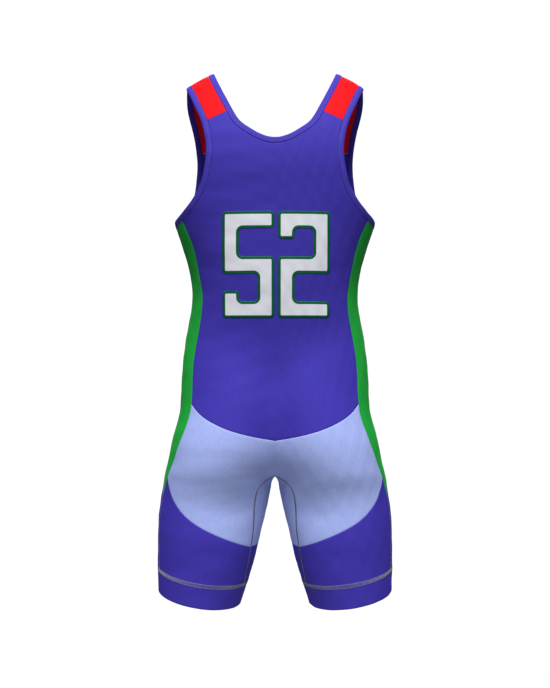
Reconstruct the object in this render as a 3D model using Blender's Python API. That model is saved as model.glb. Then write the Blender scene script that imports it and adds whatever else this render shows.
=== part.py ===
"""Powerlifting singlet in its worn shape, with no wearer: seventeen cut pieces of cloth.

Frame: metres, +Z up. The origin is midway between the shoulders at the height of the strap
tops. The wearer faces -Y, so the back that the photo shows faces +Y, and +X is the wearer's
left. All sizes in the tables are millimetres, as read from the photo.

Method: a plain worn form (torso and two legs) is written as a few cross-sections. The seams
are curves on that form, and each cut piece is a sheet between its seams, laid on the form and
given the thickness of its cloth.
"""
import bmesh
import bpy
import numpy as np

MM = 0.001

# Cloth

CLOTH = 1.2            # stretch knit
HEM_CLOTH = 2.2        # turned hem: two layers
HEM_DEPTH = 41.0
BINDING = 2.4          # folded strip over the cut edge
BINDING_WIDTH = 10.15
BINDING_PROUD = 0.4    # how far it stands above the cloth
HALF_GAP = 0.15        # each piece stops this far from its seam

# linear colours
COLOURS = {
    "violet knit": (0.052, 0.036, 0.34),
    "violet binding": (0.045, 0.032, 0.30),
    "green knit": (0.018, 0.33, 0.06),
    "light blue knit": (0.29, 0.35, 0.71),
    "red knit": (0.93, 0.01, 0.018),
}
FABRICS = [
    ("back", "violet knit"), ("front", "violet knit"), ("leg", "violet knit"),
    ("neck", "violet binding"), ("armhole", "violet binding"),
    ("side", "green knit"), ("seat", "light blue knit"), ("yoke", "red knit"),
]

# The worn form

TORSO = np.array([
    # z, half width, back y, front y, dip along the middle of the back
    (60, 222, 78, -62, 0),
    (0, 218, 88, -74, 0),
    (-60, 212, 99, -86, 0),
    (-120, 198, 109, -99, 0),
    (-180, 180, 113.5, -110, 0),
    (-246, 163, 109.5, -113, 0),
    (-310, 143, 101, -107, 0),
    (-366, 135, 92, -99, 0),
    (-425, 144, 84, -97, 2),
    (-484, 151.5, 89, -98, 8),
    (-543, 154, 99.5, -97, 15),
    (-590, 158, 103, -94, 20),
    (-640, 160, 102, -90, 19),
    (-700, 160, 96, -84, 10),
], float)
DIP_WIDTH = 42.0       # how wide the dip is
TORSO_POWER = 2.5      # 2 is an ellipse, more is squarer
SHOULDER_START, SHOULDER_RISE = -180.0, 190.5
SEAT_START, SEAT_DROP = -575.0, 74.0

LEG = np.array([
    # z, outer x, inner x, back y, front y
    (-480, 108, 34, 74, -70),
    (-560, 144, 16, 84, -86),
    (-600, 161.5, 9, 92, -90),
    (-640, 176.5, 5, 97, -90),
    (-671, 183, 6, 88.5, -89),
    (-710, 189, 13.5, 82.5, -86),
    (-750, 191.5, 23.5, 79, -83),
    (-789, 192, 32.5, 74.5, -81),
    (-845, 191.5, 49.5, 67, -78),
    (-900, 189, 67, 60, -75),
], float)
LEG_TOP_START, LEG_TOP_RISE = -625.0, 150.0
BLEND = 34.0           # how softly the legs join the torso

# Seams and edges. Points of three numbers are x, y, z; pairs are x, z seen from behind or in
# front, or y, z seen from the side. The left half is given and the right half is its mirror.

NECK = [
    (0, 106, -124), (22, 104, -119), (39, 101, -109), (52, 97, -99),
    (66, 87, -77),     # yoke seam, back
    (83.5, 68, -41), (94.5, 45, -16), (98.5, 2, -4), (96, -42, -18), (88, -68, -54),
    (74, -90, -112),   # yoke seam, front
    (57, -100, -152), (34, -105, -185), (0, -107, -198),
]
NECK_BACK, NECK_RIDGE, NECK_FRONT = 4, 7, 10

ARMHOLE = [
    (145.5, 0, -28), (141.5, 38, -36), (134.5, 56, -50), (126, 70, -69),
    (114, 86, -98),    # yoke seam, back
    (108, 94, -122), (106, 99, -143), (109, 99, -168), (116, 95, -194), (127, 87, -213),
    (139, 72, -228),
    (149, 56, -237),   # top of the green side piece, back
    (158, 31, -243),
    (163, 0, -246),    # side seam
    (161, -32, -242),
    (156, -56, -229),  # top of the green side piece, front
    (147, -73, -210), (139.5, -81, -186), (135.5, -82, -156), (134.5, -80, -134),
    (135.5, -75, -115),  # yoke seam, front
    (141.5, -60, -79), (146, -40, -56),
]
ARM_BACK, ARM_SIDE_BACK, ARM_SIDE, ARM_SIDE_FRONT, ARM_FRONT = 4, 11, 13, 15, 20

# back and front edge of the green side piece, from its top to its tip: x, z
SIDE_PIECE_HIGH = [(135, -273), (122, -322), (115, -372), (121, -420), (129, -468), (133, -536)]
SIDE_PIECE_MID = [(139, -566), (155, -609), (172, -655), (177.5, -673)]   # back
SIDE_PIECE_MID_FRONT = [(-63, -565), (-36, -607), (-6, -652), (13, -671)]   # front: y, z
TIP = (25, -687)                                   # y, z on the side seam
SIDE_SEAM = [(2, -330), (6, -400), (13, -470), (20, -540), (25, -600)]   # y, z

SEAT_TOP = [(123, -547), (96, -564), (69, -575), (34, -585)]             # x, z
SEAT_TOP_CENTRE = -593
SEAT_ARC = [(168, -672), (154, -699), (132, -719), (97, -738), (61, -755)]   # x, z
CROTCH = (0, 24, -657)
INSEAM_HIGH = [(7, 34, -658), (15, 44, -662), (23, 52, -669), (27.5, 52, -685), (30, 46, -716)]
INSEAM_MEET = (38, 38, -766)                       # where the seat arcs end
INSEAM_LOW = [(42, 35, -787)]

CHEST_DIP = {"back": 10, "front": 45}   # a panel's inner line under the chest, no seam

# Hem of a leg: a sloping plane, and the ends of each half ring as angles round the leg
LEG_CENTRE = (121.0, -3.0)
HEM_Z, HEM_SLOPE_X, HEM_SLOPE_Y = -875.0, 0.165, -0.04
HEM_SIDE, HEM_SIDE_UP = 20.5, 3.0                  # degrees, at the edge and added at HEM_DEPTH
HEM_INNER, HEM_INNER_UP = 166.0, -8.0

# Squares along each stretch of seam
ACROSS_NECK, ACROSS_YOKE, ACROSS_SIDE = 7, 3, 4
CHEST_ROWS, THIGH_ROWS, TIP_ROWS, LEG_ROWS, YOKE_ROWS = 12, 8, 2, 5, 12
WAIST_ROWS = {"back": 16, "front": 13}
CROTCH_ROWS = {"back": 3, "front": 6}
BINDING_COLUMNS = 2
HEM_RINGS = (HEM_DEPTH, HEM_DEPTH - 1.0, 27.0, 13.0, 0.0)


# Shape

def spline(knots, rows, at):
    """Rows of numbers at the places `at`, on a smooth curve through `rows` at `knots`."""
    knots, rows, at = (np.asarray(v, float) for v in (knots, rows, at))
    gap = np.diff(knots)
    lean = np.diff(rows, axis=0) / gap[:, None]
    matrix, right = np.eye(len(knots)), np.zeros_like(rows)
    for i in range(1, len(knots) - 1):
        matrix[i, i - 1:i + 2] = gap[i - 1], 2 * (gap[i - 1] + gap[i]), gap[i]
        right[i] = 6 * (lean[i] - lean[i - 1])
    bend = np.linalg.solve(matrix, right)
    at = np.clip(at, knots[0], knots[-1])
    i = np.clip(np.searchsorted(knots, at) - 1, 0, len(knots) - 2)
    g = gap[i][:, None]
    t = (at - knots[i])[:, None] / g
    u = 1 - t
    return (rows[i] * u + rows[i + 1] * t
            + ((u**3 - u) * bend[i] + (t**3 - t) * bend[i + 1]) * g * g / 6)


def table_at(table, z):
    """The columns of a cross-section table at the heights z."""
    return spline(table[::-1, 0], table[::-1, 1:], z).T


def form(points):
    """The worn form: above zero outside it, below zero inside, near to a distance in mm."""
    x, y, z = np.abs(points[:, 0]), points[:, 1], points[:, 2]
    n = TORSO_POWER
    half, back, front, dip = table_at(TORSO, z)
    back = back - dip * np.exp(-(x / DIP_WIDTH)**2)
    centre, depth = (back + front) / 2, (back - front) / 2
    above = np.maximum(0, z - SHOULDER_START) / SHOULDER_RISE
    below = np.maximum(0, SEAT_START - z) / SEAT_DROP
    size = (x / half)**n + (np.abs(y - centre) / depth)**n + above**2 + below**n
    torso = (size**(1 / n) - 1) * 110
    outer, inner, back, front = table_at(LEG, z)
    above = np.maximum(0, z - LEG_TOP_START) / LEG_TOP_RISE
    size = (((x - (outer + inner) / 2) / ((outer - inner) / 2))**2
            + ((y - (back + front) / 2) / ((back - front) / 2))**2 + above**2)
    leg = (size**0.5 - 1) * 80
    near = np.maximum(BLEND - np.abs(torso - leg), 0) / BLEND
    return np.minimum(torso, leg) - near * near * BLEND / 4


def slope(points, step=0.05):
    """How the form grows along X, Y and Z."""
    sides = []
    for k in range(3):
        move = np.zeros(3)
        move[k] = step
        sides.append((form(points + move) - form(points - move)) / (2 * step))
    return np.stack(sides, 1)


def normals(points):
    """Outward directions of the form."""
    g = slope(points)
    return g / np.linalg.norm(g, axis=1, keepdims=True)


def settle(points, rounds=12):
    """Points moved onto the form."""
    points = np.array(points, float)
    for _ in range(rounds):
        g = slope(points)
        step = -form(points)[:, None] * g / np.sum(g * g, axis=1, keepdims=True)
        long = np.linalg.norm(step, axis=1, keepdims=True)
        points = points + step * np.minimum(1, 8 / np.maximum(long, 1e-9))
    return points


def between(inside, outside):
    """The point of the form on each line from inside it to outside it."""
    inside, outside = np.array(inside, float), np.array(outside, float)
    low, high = np.zeros(len(inside)), np.ones(len(inside))
    for _ in range(40):
        middle = (low + high) / 2
        out = form(inside + middle[:, None] * (outside - inside)) > 0
        low, high = np.where(out, low, middle), np.where(out, middle, high)
    return inside + low[:, None] * (outside - inside)


def facing(pairs, side):
    """Pairs x, z on the back (side 1) or the front (side -1) of the form."""
    return between([(x, 0, z) for x, z in pairs], [(x, 250 * side, z) for x, z in pairs])


def beside(pairs):
    """Pairs y, z on the outer left side of the form."""
    return between([(110, y, z) for y, z in pairs], [(300, y, z) for y, z in pairs])


def seam(points, count, ends=(0, None), closed=False, crowd=1.0):
    """A smooth curve through points on the form, as count + 1 points between two of them.

    They are evenly spaced, or closer at the start where crowd is above 1.
    """
    points = np.array(points, float)
    first, last = ends[0], len(points) - 1 if ends[1] is None else ends[1]
    if closed:
        points = np.concatenate([points[-3:], points, points[:4]])
        first, last = first + 3, last + 3
    way = np.concatenate([[0], np.cumsum(np.linalg.norm(np.diff(points, axis=0), axis=1))])
    fine = spline(way, points, np.linspace(way[first], way[last], 12 * count + 1))
    run = np.concatenate([[0], np.cumsum(np.linalg.norm(np.diff(fine, axis=0), axis=1))])
    even = run[-1] * np.linspace(0, 1, count + 1)**crowd
    return settle(np.stack([np.interp(even, run, fine[:, k]) for k in range(3)], 1))


def offset(edge, before, after, distance):
    """An edge moved sideways over the form into the cloth, to the left of its travel."""
    path = np.concatenate([[before], edge, [after]])
    way = path[2:] - path[:-2]
    way /= np.linalg.norm(way, axis=1, keepdims=True)
    moved = edge
    for part in (0.5, 0.5):
        moved = settle(moved + distance * part * np.cross(normals(moved), way))
    return moved


def mirror(points):
    return points * np.array([-1.0, 1.0, 1.0])


def ring(height, start, end, count):
    """Part of the leg's outline in the hem's sloping plane, between two angles in degrees."""
    angle = np.radians(np.linspace(start, end, count + 1))
    out = np.stack([np.cos(angle), np.sin(angle)], 1)
    ways = np.concatenate([out, (out @ (HEM_SLOPE_X, HEM_SLOPE_Y))[:, None]], 1)
    x, y = LEG_CENTRE
    heart = np.array([x, y, HEM_Z + height + HEM_SLOPE_X * x + HEM_SLOPE_Y * y])
    return between(np.tile(heart, (count + 1, 1)), heart + 160 * ways)


def above_hem(points):
    """Height of each point over its leg's hem edge."""
    return points[:, 2] - HEM_Z - HEM_SLOPE_X * np.abs(points[:, 0]) - HEM_SLOPE_Y * points[:, 1]


# Sheets

def patch(low, high, left, right, rounds=5):
    """A sheet on the form between four seams that meet at their ends: rows from low to high."""
    u = np.linspace(0, 1, len(low))[None, :, None]
    v = np.linspace(0, 1, len(left))[:, None, None]
    grid = ((1 - v) * low[None] + v * high[None] + (1 - u) * left[:, None] + u * right[:, None]
            - (1 - u) * (1 - v) * low[0] - u * (1 - v) * low[-1]
            - (1 - u) * v * high[0] - u * v * high[-1])
    rows, columns = grid.shape[:2]
    for turn in range(rounds):
        inner = (grid[:-2, 1:-1] + grid[2:, 1:-1] + grid[1:-1, :-2] + grid[1:-1, 2:]) / 4
        if turn:
            grid[1:-1, 1:-1] = inner
        grid[1:-1, 1:-1] = settle(grid[1:-1, 1:-1].reshape(-1, 3),
                                  3 if turn else 25).reshape(rows - 2, columns - 2, 3)
    return grid


def joined(grids):
    """A bmesh of sheets welded where they share a seam, with every face turned outward."""
    bm = bmesh.new()
    for grid in grids:
        rows, columns = grid.shape[:2]
        made = bmesh.ops.create_grid(bm, x_segments=columns - 1, y_segments=rows - 1, size=1)
        for vertex, place in zip(made["verts"], grid.reshape(-1, 3)):
            vertex.co = place
    bmesh.ops.remove_doubles(bm, verts=bm.verts, dist=0.02)
    bm.normal_update()
    outward = normals(np.array([face.calc_center_median() for face in bm.faces]))
    for face, way in zip(bm.faces, outward):
        if np.dot(face.normal, way) < 0:
            face.normal_flip()
    bm.verts.ensure_lookup_table()
    bm.verts.index_update()
    return bm


def draw_in(bm, distance):
    """Border points moved into the sheet, so that it stops short of its seam."""
    points = np.array([vertex.co for vertex in bm.verts])
    up = normals(points)
    inward = {}
    for edge in bm.edges:
        if edge.is_boundary:
            loop = edge.link_loops[0]
            a, b = loop.vert.index, loop.link_loop_next.vert.index
            way = points[b] - points[a]
            for at in (a, b):
                side = np.cross(up[at], way)
                inward.setdefault(at, []).append(side / np.linalg.norm(side))
    for at, (one, two) in inward.items():
        corner = max(1 + np.dot(one, two), 0.08)
        bm.verts[at].co = points[at] + distance * (one + two) / corner


def piece(name, grids, cloth=CLOTH, proud=0.0):
    """One cut piece: its sheets joined, then extruded inward by the thickness of the cloth."""
    bm = joined(grids)
    draw_in(bm, HALF_GAP)
    points = np.array([vertex.co for vertex in bm.verts])
    up = normals(points)
    thick = cloth(points) if callable(cloth) else np.full(len(points), cloth)
    place = {tuple(vertex.co): vertex.index for vertex in bm.verts}
    made = bmesh.ops.extrude_face_region(bm, geom=bm.faces[:], use_keep_orig=True)["geom"]
    inner = {part for part in made if isinstance(part, bmesh.types.BMVert)}
    out_at = {}
    for vertex in bm.verts:
        at = place[tuple(vertex.co)]
        out_at[vertex] = up[at]
        lift = proud - (thick[at] if vertex in inner else 0)
        vertex.co = (points[at] + lift * up[at]) * MM
    bm.normal_update()
    walls = []
    for face in bm.faces:
        inside = [vertex in inner for vertex in face.verts]
        if all(inside) or not any(inside):
            way = np.dot(face.normal, out_at[face.verts[0]])
            if (way > 0) == inside[0]:
                face.normal_flip()
        else:
            walls.append(face)
    for face in walls:
        # a wall along the border runs against the outer face beside it
        loop = next(k for k in face.loops if k.vert not in inner
                    and k.link_loop_next.vert not in inner)
        if next(k for k in loop.edge.link_loops if k.face != face).vert == loop.vert:
            face.normal_flip()
    mesh = bpy.data.meshes.new(name)
    bm.to_mesh(mesh)
    bm.free()
    mesh.shade_smooth()
    mesh.set_sharp_from_angle(angle=0.7)
    mesh.materials.append(fabric(next(kind for key, kind in FABRICS if name.startswith(key))))
    bpy.context.collection.objects.link(bpy.data.objects.new(name, mesh))


def fabric(kind):
    """The material of a cloth, made once."""
    if kind not in bpy.data.materials:
        material = bpy.data.materials.new(kind)
        material.use_nodes = True
        shader = material.node_tree.nodes["Principled BSDF"]
        red, green, blue = COLOURS[kind]
        shader.inputs["Base Color"].default_value = (red, green, blue, 1)
        shader.inputs["Roughness"].default_value = 0.65
        shader.inputs["Metallic"].default_value = 0.0
    return bpy.data.materials[kind]


def leg_cloth(points):
    return np.where(above_hem(points) < HEM_DEPTH - 0.5, HEM_CLOTH, CLOTH)


# Seams

for old in list(bpy.data.objects):
    bpy.data.objects.remove(old)

# neck edge, from the centre back over the strap to the centre front
neck_guide = np.array([mirror(np.array(NECK[1]))] + NECK + [mirror(np.array(NECK[-2]))], float)
neck_parts = [
    seam(neck_guide, ACROSS_NECK, (1, NECK_BACK + 1)),
    seam(neck_guide, YOKE_ROWS, (NECK_BACK + 1, NECK_FRONT + 1)),
    seam(neck_guide, ACROSS_NECK, (NECK_FRONT + 1, len(NECK))),
]
neck_edge = np.concatenate([neck_parts[0], neck_parts[1][1:], neck_parts[2][1:]])
neck_seam = offset(neck_edge, mirror(neck_edge[1]), mirror(neck_edge[-2]), BINDING_WIDTH)
neck_seam[[0, -1], 0] = 0
one, two = ACROSS_NECK, ACROSS_NECK + YOKE_ROWS
neck_back, neck_yoke, neck_front = neck_seam[:one + 1], neck_seam[one:two + 1], neck_seam[two:]

# armhole edge, a loop from the strap top down the back, under the arm and up the front
half_yoke = YOKE_ROWS // 2
arm_stops = [(0, ARM_BACK, half_yoke), (ARM_BACK, ARM_SIDE_BACK, CHEST_ROWS),
             (ARM_SIDE_BACK, ARM_SIDE, ACROSS_SIDE), (ARM_SIDE, ARM_SIDE_FRONT, ACROSS_SIDE),
             (ARM_SIDE_FRONT, ARM_FRONT, CHEST_ROWS), (ARM_FRONT, len(ARMHOLE), half_yoke)]
arm_edge = np.concatenate([seam(ARMHOLE, count, (a, b), closed=True)[:-1]
                           for a, b, count in arm_stops])
arm_seam = offset(arm_edge, arm_edge[-1], arm_edge[0], BINDING_WIDTH)
stops = np.cumsum([0] + [count for _, _, count in arm_stops])
arm_parts = [np.take(arm_seam, range(a, b + 1), axis=0, mode="wrap")
             for a, b in zip(stops[:-1], stops[1:])]
arm_back, arm_side_back, arm_side_front, arm_front = arm_parts[1:5]
arm_yoke = np.concatenate([arm_parts[5], arm_parts[0][1:]])[::-1]

# side seam, inseam and hem
tip = beside([TIP])[0]
hem_back = [ring(h, HEM_SIDE + HEM_SIDE_UP * h / HEM_DEPTH, HEM_INNER + HEM_INNER_UP * h / HEM_DEPTH,
                 ACROSS_NECK + ACROSS_YOKE) for h in HEM_RINGS]
hem_front = [ring(h, HEM_SIDE + HEM_SIDE_UP * h / HEM_DEPTH,
                  HEM_INNER + HEM_INNER_UP * h / HEM_DEPTH - 360,
                  ACROSS_NECK + ACROSS_YOKE) for h in HEM_RINGS]
side_rows = WAIST_ROWS["back"] + CROTCH_ROWS["back"] + THIGH_ROWS + TIP_ROWS
side_high = seam([arm_side_back[-1], *beside(SIDE_SEAM), tip], side_rows)
side_low = seam([tip, *beside([(24, -760)]), hem_back[0][0]], LEG_ROWS)
inseam_high = seam([CROTCH, *INSEAM_HIGH, INSEAM_MEET], THIGH_ROWS, crowd=1.5)
inseam_low = seam([inseam_high[-1], *INSEAM_LOW, hem_back[0][-1]], TIP_ROWS + LEG_ROWS)

across = ACROSS_NECK + ACROSS_YOKE
main, seat, legs, sides = {}, {}, {}, {}
for label, face, neck, arm, arm_side in (
        ("back", 1, neck_back, arm_back, arm_side_back),
        ("front", -1, neck_front[::-1], arm_front[::-1], arm_side_front[::-1])):
    # arm runs down from the yoke seam, arm_side from there to the side seam
    centre_top, corner = neck[0], arm[-1]
    waist_rows, crotch_rows = WAIST_ROWS[label], CROTCH_ROWS[label]
    guide = [corner, *facing(SIDE_PIECE_HIGH, face),
             *(facing(SIDE_PIECE_MID, 1) if face > 0 else beside(SIDE_PIECE_MID_FRONT)), tip]
    bend = len(SIDE_PIECE_HIGH)
    high = seam(guide, waist_rows, (0, bend))
    mid = seam(guide, crotch_rows + THIGH_ROWS, (bend, bend + 3))
    low = seam(guide, TIP_ROWS, (bend + 3, bend + 5))
    seat_top = seam([high[-1], *facing(SEAT_TOP, face), *facing([(0, SEAT_TOP_CENTRE)], face)],
                    across)[::-1]
    seat_top[0, 0] = 0
    dip = CHEST_DIP[label]
    chest = facing([(0, corner[2] - dip)], face)[0]
    chest_line = seam([chest, *facing([(60, corner[2] - 0.9 * dip), (115, corner[2] - 0.4 * dip)],
                                      face), corner], across)
    centre_high = seam([chest, centre_top], CHEST_ROWS)
    centre_low = seam([seat_top[0], chest], waist_rows)
    yoke_seam = seam([neck[-1], arm[0]], ACROSS_YOKE)
    top = np.concatenate([neck, yoke_seam[1:]])
    crotch_line = seam([seat_top[0], (0, 60 * face + 15, -640 - 5 * face), inseam_high[0]],
                       crotch_rows)
    arc_end = [] if face > 0 else [(27, 0, -765), (34, -38, -762)]
    arc = seam([mid[-1], *facing(SEAT_ARC, face), *arc_end[::-1], inseam_high[-1]], across)[::-1]
    main[label] = [patch(seat_top, chest_line, centre_low, high[::-1]),
                   patch(chest_line, top, centre_high, arm[::-1])]
    seat_left = np.concatenate([crotch_line, inseam_high[1:]])[::-1]
    seat[label] = [patch(arc, seat_top, seat_left, mid[::-1])]
    hem = hem_back if face > 0 else hem_front
    leg_side = np.concatenate([low, side_low[1:]])[::-1]
    legs[label] = [patch(hem[0][::-1], arc, inseam_low[::-1], leg_side),
                   np.stack([row[::-1] for row in hem])]
    edge = np.concatenate([high, mid[1:], low[1:]])[::-1]
    point = np.tile(tip, (ACROSS_SIDE + 1, 1))
    sides[label] = [patch(point, arm_side, edge, side_high[::-1])]

# Pieces

for label in ("back", "front"):
    both = main[label] + [mirror(grid) for grid in main[label]]
    piece(f"{label}_panel", both)
    piece(f"seat_{label}", seat[label] + [mirror(grid) for grid in seat[label]])
    piece(f"side_{label}_left", sides[label])
    piece(f"side_{label}_right", [mirror(grid) for grid in sides[label]])
    piece(f"leg_{label}_left", legs[label], leg_cloth)
    piece(f"leg_{label}_right", [mirror(grid) for grid in legs[label]], leg_cloth)

yoke = patch(seam([neck_back[-1], arm_back[0]], ACROSS_YOKE),
             seam([neck_front[0], arm_front[-1]], ACROSS_YOKE), neck_yoke, arm_yoke)
piece("yoke_left", [yoke])
piece("yoke_right", [mirror(yoke)])


def strip(edge, inner):
    """A binding's sheet between its edge and its seam."""
    t = np.linspace(0, 1, BINDING_COLUMNS + 1)[:, None, None]
    grid = edge[None] * (1 - t) + inner[None] * t
    middle = grid[1:-1]
    grid[1:-1] = settle(middle.reshape(-1, 3), 4).reshape(middle.shape)
    return grid


neck_strip = strip(neck_edge, neck_seam)
piece("neck_binding", [neck_strip, mirror(neck_strip)], BINDING, BINDING_PROUD)
arm_strip = strip(np.concatenate([arm_edge, arm_edge[:1]]),
                  np.concatenate([arm_seam, arm_seam[:1]]))
piece("armhole_binding_left", [arm_strip], BINDING, BINDING_PROUD)
piece("armhole_binding_right", [mirror(arm_strip)], BINDING, BINDING_PROUD)
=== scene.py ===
# %% [markdown]
# # A powerlifting singlet, seen from behind
#
# The object is a close-fitting one-piece garment of stretch knit, filled out as if worn. This
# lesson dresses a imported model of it: the model gives the size and the place of each cut
# piece, and each piece is made again here as a fine sheet of cloth with its own folds, sewing
# and finish. Lengths in the tables are millimetres, and the meshes are in metres.

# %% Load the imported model
import math

import bmesh
import bpy
import numpy as np
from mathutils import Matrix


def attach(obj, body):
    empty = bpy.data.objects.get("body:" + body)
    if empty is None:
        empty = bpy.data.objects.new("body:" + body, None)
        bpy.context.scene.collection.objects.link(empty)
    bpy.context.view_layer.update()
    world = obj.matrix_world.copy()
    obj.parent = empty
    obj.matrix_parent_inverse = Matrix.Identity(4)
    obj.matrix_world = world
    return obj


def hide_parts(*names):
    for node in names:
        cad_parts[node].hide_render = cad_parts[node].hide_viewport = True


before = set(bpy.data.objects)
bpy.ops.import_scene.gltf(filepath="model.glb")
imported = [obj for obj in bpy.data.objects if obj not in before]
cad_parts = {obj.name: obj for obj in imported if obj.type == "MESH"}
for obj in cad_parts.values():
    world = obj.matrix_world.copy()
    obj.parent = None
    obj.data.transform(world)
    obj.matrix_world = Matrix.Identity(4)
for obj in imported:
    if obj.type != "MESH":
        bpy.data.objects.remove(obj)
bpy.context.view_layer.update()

MM = 0.001
print("cut pieces in the model:", len(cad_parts))

# %% [markdown]
# ## The worn form
#
# Knit that is stretched over a body takes the body's shape. That shape can be sculpted by
# hand, or written as a few cross-sections. Sections are used here, because the same few
# numbers then give every seam its place: the torso is a rounded box whose half width and
# depth change with height, with a dip down the middle of its back, each leg is an ellipse, and
# a smooth blend joins them.

# %% Cross-sections of the form
TORSO = np.array([
    # z, half width, back y, front y, dip along the middle of the back
    (60, 222, 78, -62, 0),
    (0, 218, 88, -74, 0),
    (-60, 212, 99, -86, 0),
    (-120, 198, 109, -99, 0),
    (-180, 180, 113.5, -110, 0),
    (-246, 163, 109.5, -113, 0),
    (-310, 143, 101, -107, 0),
    (-366, 135, 92, -99, 0),
    (-425, 144, 84, -97, 2),
    (-484, 151.5, 89, -98, 8),
    (-543, 154, 99.5, -97, 15),
    (-590, 158, 103, -94, 20),
    (-640, 160, 102, -90, 19),
    (-700, 160, 96, -84, 10),
], float)
DIP_WIDTH = 42.0       # how wide the dip is
TORSO_POWER = 2.5      # 2 is an ellipse, more is squarer
TORSO_REACH, LEG_REACH = 110.0, 80.0   # mm from the middle to the skin, about
SHOULDER_START, SHOULDER_RISE = -180.0, 190.5
SEAT_START, SEAT_DROP = -575.0, 74.0

LEG = np.array([
    # z, outer x, inner x, back y, front y
    (-480, 108, 34, 74, -70),
    (-560, 144, 16, 84, -86),
    (-600, 161.5, 9, 92, -90),
    (-640, 176.5, 5, 97, -90),
    (-671, 183, 6, 88.5, -89),
    (-710, 189, 13.5, 82.5, -86),
    (-750, 191.5, 23.5, 79, -83),
    (-789, 192, 32.5, 74.5, -81),
    (-845, 191.5, 49.5, 67, -78),
    (-900, 189, 67, 60, -75),
], float)
LEG_TOP_START, LEG_TOP_RISE = -625.0, 150.0
BLEND = 34.0           # how softly the legs join the torso


def run_along(points):
    """The way from the first point to each along a line of points."""
    return np.concatenate([[0], np.cumsum(np.linalg.norm(np.diff(points, axis=0), axis=1))])


def spline(knots, rows, at):
    """Rows of numbers at the places `at`, on a smooth curve through `rows` at `knots`."""
    knots, rows, at = (np.asarray(v, float) for v in (knots, rows, at))
    gap = np.diff(knots)
    lean = np.diff(rows, axis=0) / gap[:, None]
    matrix, right = np.eye(len(knots)), np.zeros_like(rows)
    for i in range(1, len(knots) - 1):
        matrix[i, i - 1:i + 2] = gap[i - 1], 2 * (gap[i - 1] + gap[i]), gap[i]
        right[i] = 6 * (lean[i] - lean[i - 1])
    bend = np.linalg.solve(matrix, right)
    at = np.clip(at, knots[0], knots[-1])
    i = np.clip(np.searchsorted(knots, at) - 1, 0, len(knots) - 2)
    g = gap[i][:, None]
    t = (at - knots[i])[:, None] / g
    u = 1 - t
    return (rows[i] * u + rows[i + 1] * t
            + ((u**3 - u) * bend[i] + (t**3 - t) * bend[i + 1]) * g * g / 6)


def table_at(table, z):
    """The columns of a cross-section table at the heights z."""
    return spline(table[::-1, 0], table[::-1, 1:], z).T


def form(points):
    """The worn form: above zero outside it, below zero inside, near to a distance in mm."""
    x, y, z = np.abs(points[:, 0]), points[:, 1], points[:, 2]
    n = TORSO_POWER
    half, back, front, dip = table_at(TORSO, z)
    back = back - dip * np.exp(-(x / DIP_WIDTH)**2)
    centre, depth = (back + front) / 2, (back - front) / 2
    above = np.maximum(0, z - SHOULDER_START) / SHOULDER_RISE
    below = np.maximum(0, SEAT_START - z) / SEAT_DROP
    size = (x / half)**n + (np.abs(y - centre) / depth)**n + above**2 + below**n
    torso = (size**(1 / n) - 1) * TORSO_REACH
    outer, inner, back, front = table_at(LEG, z)
    above = np.maximum(0, z - LEG_TOP_START) / LEG_TOP_RISE
    size = (((x - (outer + inner) / 2) / ((outer - inner) / 2))**2
            + ((y - (back + front) / 2) / ((back - front) / 2))**2 + above**2)
    leg = (size**0.5 - 1) * LEG_REACH
    near = np.maximum(BLEND - np.abs(torso - leg), 0) / BLEND
    return np.minimum(torso, leg) - near * near * BLEND / 4


# %% Finding the form's skin
LONGEST_STEP = 8.0     # mm that a point may move at once
HALVINGS = 30
BEYOND_BACK, BEYOND_SIDE, BEYOND_LEG = 250, 300, 160   # mm out to a place outside the form
INSIDE_LEG = 110       # x of a place inside the left leg and flank


def slope(points, step=0.05):
    """How the form grows along X, Y and Z."""
    sides = []
    for k in range(3):
        move = np.zeros(3)
        move[k] = step
        sides.append((form(points + move) - form(points - move)) / (2 * step))
    return np.stack(sides, 1)


def unit(rows):
    return rows / np.maximum(np.linalg.norm(rows, axis=-1, keepdims=True), 1e-12)


def normals(points):
    """Outward directions of the form."""
    return unit(slope(points))


def settle(points, rounds=12):
    """Points moved onto the form."""
    points = np.array(points, float)
    for _ in range(rounds):
        g = slope(points)
        step = -form(points)[:, None] * g / np.sum(g * g, axis=1, keepdims=True)
        long = np.linalg.norm(step, axis=1, keepdims=True)
        points = points + step * np.minimum(1, LONGEST_STEP / np.maximum(long, 1e-9))
    return points


def between(inside, outside):
    """The point of the form on each line from inside it to outside it."""
    inside, outside = np.array(inside, float), np.array(outside, float)
    low, high = np.zeros(len(inside)), np.ones(len(inside))
    for _ in range(HALVINGS):
        middle = (low + high) / 2
        out = form(inside + middle[:, None] * (outside - inside)) > 0
        low, high = np.where(out, low, middle), np.where(out, middle, high)
    return inside + low[:, None] * (outside - inside)


def facing(pairs, side):
    """Pairs x, z on the back (side 1) or the front (side -1) of the form."""
    return between([(x, 0, z) for x, z in pairs], [(x, BEYOND_BACK * side, z) for x, z in pairs])


def beside(pairs):
    """Pairs y, z on the outer left side of the form."""
    return between([(INSIDE_LEG, y, z) for y, z in pairs],
                   [(BEYOND_SIDE, y, z) for y, z in pairs])


waist_back, waist_front = (facing([(0, -366)], side)[0, 1] for side in (1, -1))
print("depth of the form at the waist, mm:", round(waist_back - waist_front))
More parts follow.
